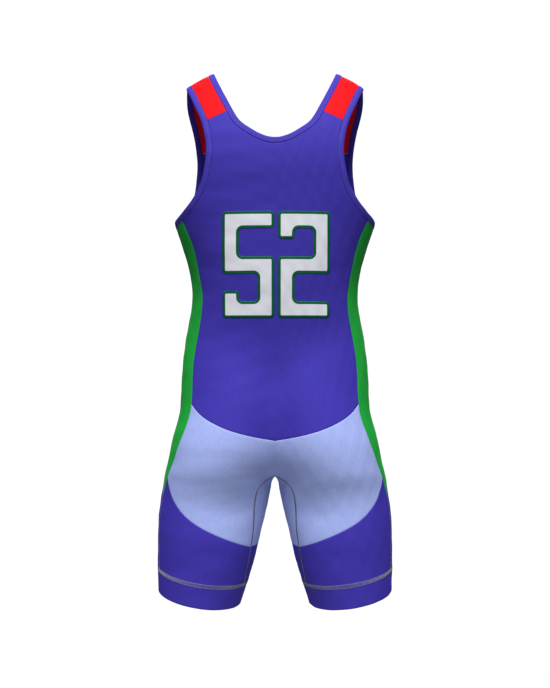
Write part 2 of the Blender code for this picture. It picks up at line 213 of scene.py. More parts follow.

# %% [markdown]
# ## Folds
#
# A tight garment has few creases, and they are soft: a valley between the halves of the seat,
# a long hollow under each, a slanting hollow on both sides of the loins, a broad one between
# the shoulder blades, and slight pulls at the waist and the thighs. They could come from a
# cloth simulation, but so few folds are truer when each is placed one by one. Each is a curve
# on the form, and the cloth sinks or swells along it with a smooth profile that fades at its ends.

# %% The folds of the back and the front
FOLDS = [
    # side, depth (swells where negative), reach above and below, points x, z of the left half;
    # one that starts at x = 0 isn't mirrored, and one across both halves counts twice
    (1, 2.0, 16, 16, [(0, -600), (0, -626), (0, -652)]),                  # valley of the seat
    (1, 3.8, 26, 34, [(12, -690), (34, -695), (60, -699)]),               # hollow under it
    (1, 5.2, 60, 44, [(34, -694), (74, -698), (112, -686)]),              # and its wide part
    (1, 2.4, 34, 26, [(84, -428), (56, -448), (28, -478), (6, -505)]),    # hollow of the loins
    (1, 2.6, 22, 22, [(0, -486), (0, -540), (0, -596)]),
    (1, 2.2, 30, 40, [(112, -500), (124, -524), (134, -560)]),            # hip
    (1, -2.4, 36, 56, [(30, -116), (66, -112), (96, -118)]),              # shoulder
    (1, 2.3, 62, 96, [(-84, -206), (0, -214), (84, -206)]),               # between the blades
    (1, 1.0, 18, 18, [(84, -240), (108, -262), (120, -300)]),
    (1, 0.7, 14, 16, [(30, -372), (74, -364), (112, -352)]),              # waist
    (1, 0.8, 12, 14, [(60, -346), (90, -332), (120, -318)]),
    (1, 0.9, 10, 14, [(24, -704), (56, -712), (92, -706)]),               # thigh
    (1, 0.8, 14, 16, [(64, -786), (104, -776), (148, -790)]),
    (-1, 3.2, 15, 15, [(0, -560), (0, -590), (0, -620)]),
    (-1, 3.4, 20, 26, [(10, -652), (44, -660), (84, -656), (116, -640)]),
    (-1, 1.5, 12, 14, [(12, -676), (40, -694), (80, -702)]),
    (-1, 1.2, 18, 18, [(16, -386), (70, -380), (120, -372)]),
    (-1, 1.0, 16, 18, [(34, -340), (84, -326), (124, -306)]),
    (-1, -2.4, 50, 50, [(34, -190), (60, -196), (84, -200)]),
    (-1, 0.9, 14, 16, [(62, -776), (104, -764), (150, -780)]),
]
FOLD_STEPS = 40
FADE_FROM, FADE_POWER = 0.08, 0.6      # a fold's depth along it, as part of a half wave
# unevenness of the whole cloth: height, then waves across and along in turns a metre
RIPPLES = [(0.16, 21, 13), (0.13, -17, 29), (0.10, 37, -23), (0.07, 47, 41)]


def fold_line(points):
    """Even steps along the smooth line through a fold's points."""
    points = np.array(points, float)
    way = run_along(points)
    return spline(way, points, np.linspace(0, way[-1], FOLD_STEPS))


def sink(points, up):
    """How far the cloth sinks at each point of the form, in mm. Its outline stays."""
    depth = np.zeros(len(points))
    fade = np.sin(np.linspace(FADE_FROM, 1 - FADE_FROM, FOLD_STEPS) * np.pi)**FADE_POWER
    for side, deep, above, below, line in FOLDS:
        line = fold_line(line)
        here = np.clip(up[:, 1] * side, 0, 1)
        for half in (1, -1) if line[0, 0] else (1,):
            over = points[:, 0:1] * half - line[:, 0]
            rise = points[:, 2:3] - line[:, 1]
            reach = np.where(rise > 0, above, below)
            near = np.exp(-(over / above)**2 - (rise / reach)**2)
            depth += here * deep * np.max(fade * near, axis=1)
    around = np.degrees(np.arctan2(points[:, 1], np.abs(points[:, 0]))) / 360
    for height, over, along in RIPPLES:
        depth += height * np.sin(2 * np.pi * (over * (points[:, 0] * MM + around)
                                              + along * points[:, 2] * MM))
    return depth


def draped(points, up, lift=0.0):
    """Points of the form as the cloth lies: sunk along the folds, and lifted by `lift`."""
    lift = np.broadcast_to(lift, len(points))
    return points + (lift - sink(points, up))[:, None] * up


print("folds:", len(FOLDS))

# %% [markdown]
# ## Seams
#
# A maker sews this garment from a back, a front, a pale seat, four green side pieces, four
# leg pieces and two red shoulder yokes, and covers the neck and the armholes with a folded
# binding. Every seam is a smooth curve through a few points that lie on the form. The left
# half is given, and the right half is its mirror.

# %% Where the seams run
NECK = [
    (0, 106, -124), (22, 104, -119), (39, 101, -109), (52, 97, -99),
    (66, 87, -77),     # yoke seam, back
    (83.5, 68, -41), (94.5, 45, -16), (98.5, 2, -4), (96, -42, -18), (88, -68, -54),
    (74, -90, -112),   # yoke seam, front
    (57, -100, -152), (34, -105, -185), (0, -107, -198),
]
NECK_BACK, NECK_FRONT = 4, 10

ARMHOLE = [
    (145.5, 0, -28), (141.5, 38, -36), (134.5, 56, -50), (126, 70, -69),
    (114, 86, -98),    # yoke seam, back
    (108, 94, -122), (106, 99, -143), (109, 99, -168), (116, 95, -194), (127, 87, -213),
    (139, 72, -228),
    (149, 56, -237),   # top of the green side piece, back
    (158, 31, -243),
    (163, 0, -246),    # side seam
    (161, -32, -242),
    (156, -56, -229),  # top of the green side piece, front
    (147, -73, -210), (139.5, -81, -186), (135.5, -82, -156), (134.5, -80, -134),
    (135.5, -75, -115),  # yoke seam, front
    (141.5, -60, -79), (146, -40, -56),
]
ARM_BACK, ARM_SIDE_BACK, ARM_SIDE, ARM_SIDE_FRONT, ARM_FRONT = 4, 11, 13, 15, 20

# back and front edge of the green side piece, from its top to its tip: x, z
SIDE_PIECE_HIGH = [(135, -273), (122, -322), (115, -372), (121, -420), (129, -468), (133, -536)]
SIDE_PIECE_MID = [(139, -566), (155, -609), (172, -655), (177.5, -673)]   # back
SIDE_PIECE_MID_FRONT = [(-63, -565), (-36, -607), (-6, -652), (13, -671)]   # front: y, z
TIP = (25, -687)                                   # y, z on the side seam
SIDE_SEAM = [(2, -330), (6, -400), (13, -470), (20, -540), (25, -600)]   # y, z
SIDE_SEAM_LOW = [(24, -760)]                       # y, z, under the tip
TIP_BLUNT = 0.4        # share of its first row of squares that a green piece loses

SEAT_TOP = [(123, -547), (96, -564), (69, -575), (34, -585)]             # x, z
SEAT_TOP_CENTRE = -593
SEAT_ARC = [(168, -672), (154, -699), (132, -719), (97, -738), (61, -755)]   # x, z
SEAT_ARC_END = {"back": [], "front": [(34, -38, -762), (27, 0, -765)]}
CROTCH_TURN = {"back": (0, 75, -645), "front": (0, -45, -635)}
CROTCH = (0, 24, -657)
INSEAM_HIGH = [(7, 34, -658), (15, 44, -662), (23, 52, -669), (27.5, 52, -685), (30, 46, -716)]
INSEAM_MEET = (38, 38, -766)                       # where the seat arcs end
INSEAM_LOW = [(42, 35, -787)]

CHEST_DIP = {"back": 10, "front": 45}   # a panel's inner line under the chest, no seam
CHEST_SHAPE = [(60, 0.9), (115, 0.4)]   # x, share of the dip

# Hem of a leg: a sloping plane, and the ends of each half ring as angles round the leg
LEG_CENTRE = (121.0, -3.0)
HEM_Z, HEM_SLOPE_X, HEM_SLOPE_Y = -875.0, 0.165, -0.04
HEM_DEPTH = 41.0
HEM_SIDE, HEM_SIDE_UP = 20.5, 3.0                  # degrees, at the edge and added at HEM_DEPTH
HEM_INNER, HEM_INNER_UP = 166.0, -8.0

# Squares along each stretch of seam
FINE = 4
ACROSS_NECK, ACROSS_YOKE, ACROSS_SIDE = 7 * FINE, 3 * FINE, 4 * FINE
CHEST_ROWS, THIGH_ROWS, TIP_ROWS = 12 * FINE, 8 * FINE, 2 * FINE
LEG_ROWS, YOKE_ROWS = 5 * FINE, 12 * FINE
WAIST_ROWS = {"back": 16 * FINE, "front": 13 * FINE}
CROTCH_ROWS = {"back": 3 * FINE, "front": 6 * FINE}
BINDING_WIDTH = 10.15


# %% Drawing a seam
def seam(points, count, ends=(0, None), closed=False, crowd=1.0):
    """A smooth curve through points on the form, as count + 1 points between two of them.

    They are evenly spaced, or closer at the start where crowd is above 1.
    """
    points = np.array(points, float)
    first, last = ends[0], len(points) - 1 if ends[1] is None else ends[1]
    if closed:
        points = np.concatenate([points[-3:], points, points[:4]])
        first, last = first + 3, last + 3
    way = run_along(points)
    fine = spline(way, points, np.linspace(way[first], way[last], 8 * count + 1))
    run = run_along(fine)
    even = run[-1] * np.linspace(0, 1, count + 1)**crowd
    return settle(np.stack([np.interp(even, run, fine[:, k]) for k in range(3)], 1))


def offset(edge, before, after, distance):
    """An edge moved sideways over the form into the cloth, to the left of its travel."""
    path = np.concatenate([[before], edge, [after]])
    way = unit(path[2:] - path[:-2])
    moved = edge
    for part in (0.5, 0.5):
        moved = settle(moved + distance * part * np.cross(normals(moved), way))
    return moved


def mirror(points):
    """The same points on the other half: x is the first number of each."""
    return points * np.array([-1.0, 1.0, 1.0, 1.0])[:points.shape[-1]]


def ring(height, start, end, count):
    """Part of the leg's outline in the hem's sloping plane, between two angles in degrees."""
    angle = np.radians(np.linspace(start, end, count + 1))
    out = np.stack([np.cos(angle), np.sin(angle)], 1)
    ways = np.concatenate([out, (out @ (HEM_SLOPE_X, HEM_SLOPE_Y))[:, None]], 1)
    x, y = LEG_CENTRE
    heart = np.array([x, y, HEM_Z + height + HEM_SLOPE_X * x + HEM_SLOPE_Y * y])
    return between(np.tile(heart, (count + 1, 1)), heart + BEYOND_LEG * ways)


# %% Neck and armhole edges
neck_guide = np.array([mirror(np.array(NECK[1]))] + NECK + [mirror(np.array(NECK[-2]))], float)
neck_parts = [
    seam(neck_guide, ACROSS_NECK, (1, NECK_BACK + 1)),
    seam(neck_guide, YOKE_ROWS, (NECK_BACK + 1, NECK_FRONT + 1)),
    seam(neck_guide, ACROSS_NECK, (NECK_FRONT + 1, len(NECK))),
]
neck_edge = np.concatenate([neck_parts[0], neck_parts[1][1:], neck_parts[2][1:]])
neck_seam = offset(neck_edge, mirror(neck_edge[1]), mirror(neck_edge[-2]), BINDING_WIDTH)
neck_seam[[0, -1], 0] = 0
one, two = ACROSS_NECK, ACROSS_NECK + YOKE_ROWS
neck_back, neck_yoke, neck_front = neck_seam[:one + 1], neck_seam[one:two + 1], neck_seam[two:]

half_yoke = YOKE_ROWS // 2
arm_stops = [(0, ARM_BACK, half_yoke), (ARM_BACK, ARM_SIDE_BACK, CHEST_ROWS),
             (ARM_SIDE_BACK, ARM_SIDE, ACROSS_SIDE), (ARM_SIDE, ARM_SIDE_FRONT, ACROSS_SIDE),
             (ARM_SIDE_FRONT, ARM_FRONT, CHEST_ROWS), (ARM_FRONT, len(ARMHOLE), half_yoke)]
arm_edge = np.concatenate([seam(ARMHOLE, count, (a, b), closed=True)[:-1]
                           for a, b, count in arm_stops])
arm_seam = offset(arm_edge, arm_edge[-1], arm_edge[0], BINDING_WIDTH)
stops = np.cumsum([0] + [count for _, _, count in arm_stops])
arm_parts = [np.take(arm_seam, range(a, b + 1), axis=0, mode="wrap")
             for a, b in zip(stops[:-1], stops[1:])]
arm_back, arm_side_back, arm_side_front, arm_front = arm_parts[1:5]
arm_yoke = np.concatenate([arm_parts[5], arm_parts[0][1:]])[::-1]
print("points round an armhole:", len(arm_edge))

# %% [markdown]
# ## Cut pieces
#
# Each piece is a grid stretched between its four seams. The grid is first blended straight
# from its edges, and is then relaxed and laid on the form a few times, so that its threads
# run evenly. A mesh editor's patch or a lofted surface would do the same, but here the rows
# and columns also give each point its place in the flat cloth, which the knit needs later.

# %% Sheets between seams
RELAX = 5 * FINE * FINE
COLUMN_APART = 0.6     # mm; each column of points stays so much further from the middle


def patch(low, high, left, right):
    """A sheet on the form between four seams that meet at their ends: rows from low to high."""
    u = np.linspace(0, 1, len(low))[None, :, None]
    v = np.linspace(0, 1, len(left))[:, None, None]
    grid = ((1 - v) * low[None] + v * high[None] + (1 - u) * left[:, None] + u * right[:, None]
            - (1 - u) * (1 - v) * low[0] - u * (1 - v) * low[-1]
            - (1 - u) * v * high[0] - u * v * high[-1])
    rows, columns = grid.shape[:2]
    apart = COLUMN_APART * np.arange(1, columns - 1)

    def lay(rounds):
        grid[1:-1, 1:-1] = settle(grid[1:-1, 1:-1].reshape(-1, 3),
                                  rounds).reshape(rows - 2, columns - 2, 3)

    lay(20)
    for turn in range(1, RELAX + 1):
        grid[1:-1, 1:-1] = (grid[:-2, 1:-1] + grid[2:, 1:-1]
                            + grid[1:-1, :-2] + grid[1:-1, 2:]) / 4
        if turn % (FINE * FINE) == 0:
            grid[1:-1, 1:-1, 0] = np.maximum(grid[1:-1, 1:-1, 0], apart)
            lay(3)
    return grid


# %% Side seam, inseam and hems
tip = beside([TIP])[0]
HEM_ROWS = 12
HEM_LAYER = 2.1        # mm from the outer face to the face of the turned-in layer
HEM_TURN = [(0.5, -1.9), (0.0, -1.2), (0.05, -0.5)]   # height, lift of the fold at the edge
LAYER_UP, TURN_DOWN, EDGE_UP = 0.9, 0.3, 0.8   # mm: inner layer, fold and last outer row
hem_heights = HEM_DEPTH * np.linspace(1, 0, HEM_ROWS + 1)
across = ACROSS_NECK + ACROSS_YOKE
hem_back, hem_front = ([ring(h, HEM_SIDE + HEM_SIDE_UP * h / HEM_DEPTH,
                             HEM_INNER + HEM_INNER_UP * h / HEM_DEPTH - turn, across)
                        for h in hem_heights] for turn in (0, 360))
side_rows = WAIST_ROWS["back"] + CROTCH_ROWS["back"] + THIGH_ROWS + TIP_ROWS
side_high = seam([arm_side_back[-1], *beside(SIDE_SEAM), tip], side_rows)
side_low = seam([tip, *beside(SIDE_SEAM_LOW), hem_back[0][0]], LEG_ROWS)
inseam_high = seam([CROTCH, *INSEAM_HIGH, INSEAM_MEET], THIGH_ROWS, crowd=1.5)
inseam_low = seam([inseam_high[-1], *INSEAM_LOW, hem_back[0][-1]], TIP_ROWS + LEG_ROWS)


def turned_hem(rows):
    """A hem's sheet: down the outside, round the edge, and up inside, with each row's lift."""
    inside = [(row + (0, 0, LAYER_UP), -HEM_LAYER) for row in rows[1:-1]]
    turn = [(rows[-1] + (0, 0, height - TURN_DOWN), lift) for height, lift in HEM_TURN]
    outside = [(row + (0, 0, EDGE_UP if row is rows[-1] else 0), 0.0) for row in rows[::-1]]
    lines = [(settle(row, 6), lift) for row, lift in inside + turn + outside[:-1]]
    lines.append((rows[0], 0.0))
    return np.stack([np.concatenate([row, np.full((len(row), 1), lift)], 1)
                     for row, lift in lines])


# %% The sheets of the back and the front
main, seat, legs, sides, seat_middle = {}, {}, {}, {}, {}
for label, face, neck, arm, arm_side in (
        ("back", 1, neck_back, arm_back, arm_side_back),
        ("front", -1, neck_front[::-1], arm_front[::-1], arm_side_front[::-1])):
    # arm runs down from the yoke seam, arm_side from there to the side seam
    centre_top, corner = neck[0], arm[-1]
    waist_rows, crotch_rows = WAIST_ROWS[label], CROTCH_ROWS[label]
    guide = [corner, *facing(SIDE_PIECE_HIGH, face),
             *(facing(SIDE_PIECE_MID, 1) if face > 0 else beside(SIDE_PIECE_MID_FRONT)), tip]
    bend = len(SIDE_PIECE_HIGH)
    high = seam(guide, waist_rows, (0, bend))
    mid = seam(guide, crotch_rows + THIGH_ROWS, (bend, bend + 3))
    low = seam(guide, TIP_ROWS, (bend + 3, bend + 5))
    seat_top = seam([high[-1], *facing(SEAT_TOP, face), *facing([(0, SEAT_TOP_CENTRE)], face)],
                    across)[::-1]
    seat_top[0, 0] = 0
    dip = CHEST_DIP[label]
    chest = facing([(0, corner[2] - dip)], face)[0]
    chest_guide = [(x, corner[2] - share * dip) for x, share in CHEST_SHAPE]
    chest_line = seam([chest, *facing(chest_guide, face), corner], across)
    centre_high = seam([chest, centre_top], CHEST_ROWS)
    centre_low = seam([seat_top[0], chest], waist_rows)
    yoke_seam = seam([neck[-1], arm[0]], ACROSS_YOKE)
    top = np.concatenate([neck, yoke_seam[1:]])
    crotch_line = seam([seat_top[0], CROTCH_TURN[label], inseam_high[0]], crotch_rows)
    arc = seam([mid[-1], *facing(SEAT_ARC, face), *SEAT_ARC_END[label], inseam_high[-1]],
               across)[::-1]
    main[label] = [patch(seat_top, chest_line, centre_low, high[::-1]),
                   patch(chest_line, top, centre_high, arm[::-1])]
    seat_left = np.concatenate([crotch_line, inseam_high[1:]])[::-1]
    seat[label] = [patch(arc, seat_top, seat_left, mid[::-1])]
    hem = hem_back if face > 0 else hem_front
    leg_side = np.concatenate([low, side_low[1:]])[::-1]
    legs[label] = [patch(hem[0][::-1], arc, inseam_low[::-1], leg_side),
                   turned_hem([row[::-1] for row in hem])]
    edge = np.concatenate([high, mid[1:], low[1:]])[::-1]
    point = np.tile(tip, (ACROSS_SIDE + 1, 1))
    side = patch(point, arm_side, edge, side_high[::-1])
    side[0] += TIP_BLUNT * (side[1] - side[0])    # this keeps its last faces sound
    sides[label] = [side]
    seat_middle[label] = crotch_line

yoke = patch(seam([neck_back[-1], arm_back[0]], ACROSS_YOKE),
             seam([neck_front[0], arm_front[-1]], ACROSS_YOKE), neck_yoke, arm_yoke)
print("squares in the back panel:", 2 * sum((g.shape[0] - 1) * (g.shape[1] - 1)
                                            for g in main["back"]))

# %% [markdown]
# ## Knit fabrics
#
# The cloth is polyester and elastane warp knit, printed in solid colours. It has a smooth
# face with a fine slanting rib and a soft sheen where it curves away. The rib could be
# modelled, but its threads are under half a millimetre apart, so it is a bump in the
# material. It follows the flat cloth through the piece's UV map, which is in metres.

# %% Colours and small helpers
VIOLET, VIOLET_BINDING = "#3C32A0", "#3E34A2"
GREEN, LIGHT_BLUE, RED = "#1E9B3A", "#9AA8E0", "#EC0610"
GREY_THREAD, PRINT_WHITE, PRINT_GREEN = "#8E8A92", "#DCDDE6", "#075A34"
RIB_PITCH = 3.4        # mm; the real rib is near 0.5 mm, drawn coarser so that it shows
RIB_SLANT = 38.0       # degrees


def linear(code):
    """An sRGB hex colour as the linear colour that a shader takes."""
    parts = [int(code[i:i + 2], 16) / 255 for i in (1, 3, 5)]
    return [p / 12.92 if p <= 0.04045 else ((p + 0.055) / 1.055)**2.4 for p in parts] + [1]


def node(tree, kind, links=(), **settings):
    """A new node of a tree with its settings, and links as (its input, another's output)."""
    made = tree.nodes.new(kind)
    for name, value in settings.items():
        if hasattr(made, name):
            setattr(made, name, value)
        else:
            made.inputs[name.replace("_", " ")].default_value = value
    for into, out in links:
        tree.links.new(out, made.inputs[into])
    return made


# %% Knit material
WAVE_PERIOD = 2 * math.pi / 20     # one band of Blender's wave texture at scale 1
SECOND_RIB, RIB_WEIGHT, NOISE_WEIGHT = 0.3, 0.4, 0.8
DARKER, LIGHTER, BUMP = 0.16, 0.14, 0.25


def new_material(name, **inputs):
    """A material with the given inputs of its shader, as the material, its tree and shader."""
    material = bpy.data.materials.new(name)
    material.use_nodes = True
    shader = material.node_tree.nodes["Principled BSDF"]
    for key, value in inputs.items():
        shader.inputs[key.replace("_", " ")].default_value = value
    return material, material.node_tree, shader


def shaded(tree, shader, amount, colour, low, high):
    """A shader's base colour between low and high times a colour, by the output `amount`."""
    shade = node(tree, "ShaderNodeMix", [(0, amount)], data_type="RGBA")
    for socket, times in ((6, low), (7, high)):
        shade.inputs[socket].default_value = [min(1, c * times) for c in linear(colour)[:3]] + [1]
    tree.links.new(shade.outputs[2], shader.inputs["Base Color"])


def knit(name, colour, roughness=0.7, sheen=0.3, relief=1.0):
    """Smooth stretch knit: a fine slanting rib, faint wales, uneven dye and a soft sheen."""
    material, tree, shader = new_material(
        name, Roughness=roughness, Sheen_Weight=sheen, Sheen_Roughness=0.4,
        Sheen_Tint=linear(colour), Specular_IOR_Level=0.1)
    flat = node(tree, "ShaderNodeUVMap", uv_map="UVMap")
    ribs = []
    for turn in (RIB_SLANT, -RIB_SLANT):
        turned = node(tree, "ShaderNodeMapping", [("Vector", flat.outputs["UV"])],
                      Rotation=(0, 0, math.radians(turn)))
        ribs.append(node(tree, "ShaderNodeTexWave", [("Vector", turned.outputs["Vector"])],
                         Scale=WAVE_PERIOD / (RIB_PITCH * MM), Distortion=1.2, Detail=1.0,
                         Detail_Scale=4.0))
    weave = node(tree, "ShaderNodeMix", [(2, ribs[0].outputs["Fac"]), (3, ribs[1].outputs["Fac"])],
                 data_type="FLOAT")
    weave.inputs[0].default_value = SECOND_RIB
    soft = node(tree, "ShaderNodeMath", [(0, weave.outputs[0])], operation="MULTIPLY")
    soft.inputs[1].default_value = RIB_WEIGHT
    wales = node(tree, "ShaderNodeMapping", [("Vector", flat.outputs["UV"])], Scale=(1, 0.35, 1))
    streaks = node(tree, "ShaderNodeTexNoise", [("Vector", wales.outputs["Vector"])],
                   Scale=220.0, Detail=3.0, Roughness=0.65)
    dye = node(tree, "ShaderNodeTexNoise", [("Vector", flat.outputs["UV"])],
               Scale=420.0, Detail=2.0, Roughness=0.6)
    uneven = node(tree, "ShaderNodeMath", [(0, streaks.outputs["Fac"]), (1, dye.outputs["Fac"])])
    shift = node(tree, "ShaderNodeMath", [(0, uneven.outputs[0]), (2, soft.outputs[0])],
                 operation="MULTIPLY_ADD")
    shift.inputs[1].default_value = NOISE_WEIGHT
    level = node(tree, "ShaderNodeMapRange", [("Value", shift.outputs[0])],
                 From_Min=0.5, From_Max=1.5)
    shaded(tree, shader, level.outputs[0], colour, 1 - DARKER * relief, 1 + LIGHTER * relief)
    bump = node(tree, "ShaderNodeBump", [("Height", shift.outputs[0])], Strength=BUMP * relief,
                Distance=0.2 * MM)
    tree.links.new(bump.outputs["Normal"], shader.inputs["Normal"])
    return material


MATERIALS = {
    "violet_knit": knit("violet_stretch_knit", VIOLET),
    "violet_binding": knit("violet_folded_binding", VIOLET_BINDING),
    "green_knit": knit("green_stretch_knit", GREEN),
    "light_blue_knit": knit("light_blue_stretch_knit", LIGHT_BLUE),
    "red_knit": knit("red_stretch_knit", RED),
}
SLOTS = {"back": "violet_knit", "front": "violet_knit", "leg": "violet_knit",
         "side": "green_knit", "seat": "light_blue_knit", "yoke": "red_knit",
         "neck": "violet_binding", "armhole": "violet_binding"}
print("fabrics:", len(MATERIALS))

# %% [markdown]
# ## Cloth from sheets
#
# The sheets of a piece are welded where they meet inside it. Its border is then moved in by a
# hair, so that neighbours don't touch, and rolled under slightly, as a sewn edge is. Solidify
# gives the cloth its thickness inward, which leaves the outer face where it was drawn.

# %% Welding and laying a piece
CLOTH = 1.0            # mm
HALF_GAP = 0.02        # each piece stops this far from its seam
ROLL_WIDTH, ROLL_DEPTH = 1.1, 0.2


def flat_places(grid, along=None):
    """Each point's place in the flat cloth: across by arc length, along by height or arc."""
    over = np.linalg.norm(np.diff(grid[:, :, :3], axis=1), axis=2)
    u = np.concatenate([np.zeros((len(grid), 1)), np.cumsum(over, axis=1)], 1)
    u *= 1 if grid[0, -1, 0] + grid[-1, -1, 0] >= 0 else -1
    v = grid[:, :, 2]
    if along == "arc":
        up = np.linalg.norm(np.diff(grid[:, :, :3], axis=0), axis=2).mean(1)
        v = np.repeat(np.concatenate([[0], np.cumsum(up)])[:, None], grid.shape[1], 1)
    return np.stack([u, v], 2)


def edged(grid):
    """A sheet with one more line of points just inside each of its four seams."""
    for _ in range(4):
        step = grid[1] - grid[0]
        long = np.linalg.norm(step[:, :3], axis=1, keepdims=True)
        line = grid[0] + step * np.minimum(ROLL_WIDTH / np.maximum(long, 1e-6), 0.5)
        grid = np.rot90(np.concatenate([grid[:1], line[None], grid[1:]]))
    return grid


def outward(grid):
    """A sheet with its columns in the order that makes its faces point out of the form."""
    at = grid.shape[1] // 2
    over, up = grid[-1, at + 1, :3] - grid[-1, at, :3], grid[-1, at, :3] - grid[-2, at, :3]
    facing_out = np.dot(np.cross(over, up), normals(grid[-1, at:at + 1, :3])[0]) > 0
    return grid if facing_out else grid[:, ::-1]


def joined(grids, along=None):
    """A bmesh of sheets welded where they share a seam. Each point keeps its lift."""
    bm = bmesh.new()
    flat = bm.loops.layers.uv.new("UVMap")
    lift = bm.verts.layers.float.new("lift")
    for grid in grids:
        if grid.shape[2] == 3:
            grid = np.concatenate([grid, np.zeros_like(grid[:, :, :1])], 2)
        grid = outward(edged(grid))
        rows, columns = grid.shape[:2]
        made = bmesh.ops.create_grid(bm, x_segments=columns - 1, y_segments=rows - 1, size=1)
        places = flat_places(grid, along).reshape(-1, 2)
        for vertex, place, where in zip(made["verts"], grid.reshape(-1, 4), places):
            vertex.co = place[:3]
            vertex[lift] = place[3]
            for loop in vertex.link_loops:
                loop[flat].uv = where * MM
    bmesh.ops.remove_doubles(bm, verts=bm.verts, dist=0.002)
    return bm


def draw_in(bm, distance):
    """Border points moved into the sheet, so that it stops short of its seam."""
    bm.verts.index_update()
    bm.verts.ensure_lookup_table()
    points = np.array([vertex.co for vertex in bm.verts])
    up = normals(points)
    inward = {}
    for edge in bm.edges:
        if edge.is_boundary:
            loop = edge.link_loops[0]
            a, b = loop.vert.index, loop.link_loop_next.vert.index
            way = points[b] - points[a]
            for at in (a, b):
                inward.setdefault(at, []).append(unit(np.cross(up[at], way)))
    for at, sides in inward.items():
        side = np.mean(sides, axis=0)
        bm.verts[at].co = points[at] + distance * side / max(side @ side, 0.15)


def meshed(name, bm):
    """A mesh made of a bmesh, which is then given up."""
    mesh = bpy.data.meshes.new(name)
    bm.to_mesh(mesh)
    bm.free()
    return mesh


def cloth(name, grids, along=None):
    """One cut piece as an object: welded, parted from its neighbours, draped and thickened."""
    bm = joined(grids, along)
    draw_in(bm, HALF_GAP)
    lift = bm.verts.layers.float["lift"]
    points = np.array([vertex.co for vertex in bm.verts])
    lifts = np.array([vertex[lift] - ROLL_DEPTH * (vertex.is_boundary and vertex[lift] == 0)
                      for vertex in bm.verts])
    for vertex, place in zip(bm.verts, draped(points, normals(points), lifts) * MM):
        vertex.co = place
    area = sum(face.calc_area() for face in bm.faces)
    return dress(name, meshed(name, bm), CLOTH), area


def dress(name, mesh, thick=0.0):
    """An object for a finished mesh, smooth, with its fabric and its place in the frame."""
    mesh.shade_smooth()
    slot = SLOTS[name.split("_")[0]]
    mesh.materials.append(MATERIALS[slot])
    piece = bpy.data.objects.new(name + "_cloth", mesh)
    bpy.context.collection.objects.link(piece)
    if thick:
        wall = piece.modifiers.new("cloth thickness", "SOLIDIFY")
        wall.thickness, wall.offset = thick * MM, -1
    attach(piece, "root")
    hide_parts(name)
    return piece


# %% Cutting and laying every panel
made, areas = {}, {}
for label in ("back", "front"):
    plans = {
        f"{label}_panel": main[label] + [mirror(grid) for grid in main[label]],
        f"seat_{label}": seat[label] + [mirror(grid) for grid in seat[label]],
        f"side_{label}_left": sides[label],
        f"side_{label}_right": [mirror(grid) for grid in sides[label]],
        f"leg_{label}_left": legs[label],
        f"leg_{label}_right": [mirror(grid) for grid in legs[label]],
    }
    for name, grids in plans.items():
        made[name], areas[name] = cloth(name, grids)
for name, grids in (("yoke_left", [yoke]), ("yoke_right", [mirror(yoke)])):
    made[name], areas[name] = cloth(name, grids, along="arc")
for name, area in areas.items():
    print(f"{name}: {area * 1e4:.0f} cm2, {len(made[name].data.polygons)} faces")

# %% [markdown]
# ## Bindings
#
# The neck and the armholes are covered with a folded strip of the same knit, about 10 mm
# wide, stitched down along its inner edge. It is rounder and thicker than the cloth beside
# it. Its section is drawn once, as distances from the free edge and heights over the cloth,
# and is carried along the edge.

# %% Folded strips
BINDING_SECTION = [
    # across from the free edge, height over the cloth
    (10.1, -0.5), (9.9, 0.15), (9.0, 0.42), (7.4, 0.6), (5.2, 0.68), (3.0, 0.6), (1.5, 0.35),
    (0.5, -0.15), (0.0, -0.9), (0.4, -1.6), (1.6, -2.0), (5.0, -2.0), (10.1, -1.9),
]


def binding(name, edge, inner):
    """A folded strip along an edge, as a closed band."""
    rows = []
    for across_edge, height in BINDING_SECTION:
        t = across_edge / BINDING_WIDTH
        line = settle(edge * (1 - t) + inner * t, 4)
        rows.append(draped(line, normals(line), height))
    rows.append(rows[0])
    grid = np.stack(rows)
    bm = bmesh.new()
    flat = bm.loops.layers.uv.new("UVMap")
    columns = grid.shape[1]
    band = bmesh.ops.create_grid(bm, x_segments=columns - 1, y_segments=len(grid) - 1, size=1)
    places = [(3.0 * i, way) for i in range(len(grid)) for way in run_along(edge)]
    for vertex, place, where in zip(band["verts"], grid.reshape(-1, 3), places):
        vertex.co = place * MM
        for loop in vertex.link_loops:
            loop[flat].uv = np.array(where) * MM
    bmesh.ops.remove_doubles(bm, verts=bm.verts, dist=0.00001)
    bmesh.ops.recalc_face_normals(bm, faces=bm.faces)
    area = sum(face.calc_area() for face in bm.faces) / 2
    return dress(name, meshed(name, bm)), area


def round_trip(half):
    """A mirrored half line as one closed line, ending where it began."""
    return np.concatenate([half, mirror(half[::-1])[1:]])


arm_lines = [np.concatenate([line, line[:1]]) for line in (arm_edge, arm_seam)]
loops = {
    "neck_binding": [round_trip(line) for line in (neck_edge, neck_seam)],
    "armhole_binding_left": arm_lines,
    "armhole_binding_right": [mirror(line) for line in arm_lines],
}
for name, (edge, inner) in loops.items():
    made[name], areas[name] = binding(name, edge, inner)
    print(f"{name}: {areas[name] * 1e4:.0f} cm2")

# %% [markdown]
# ## Sewing
#
# The hems are held by a coverstitch band, the inseams and side seams by a flatlock, and the
# bindings by rows of single stitches. Thread is too thin to model as plies, so each run is a
# fine round curve that lies on the cloth: a zigzag for the bands, short dashes for the rows.

# %% Thread
THREAD = 0.42          # mm across
THREADS = {"grey": GREY_THREAD, "violet": "#6A5FB4"}


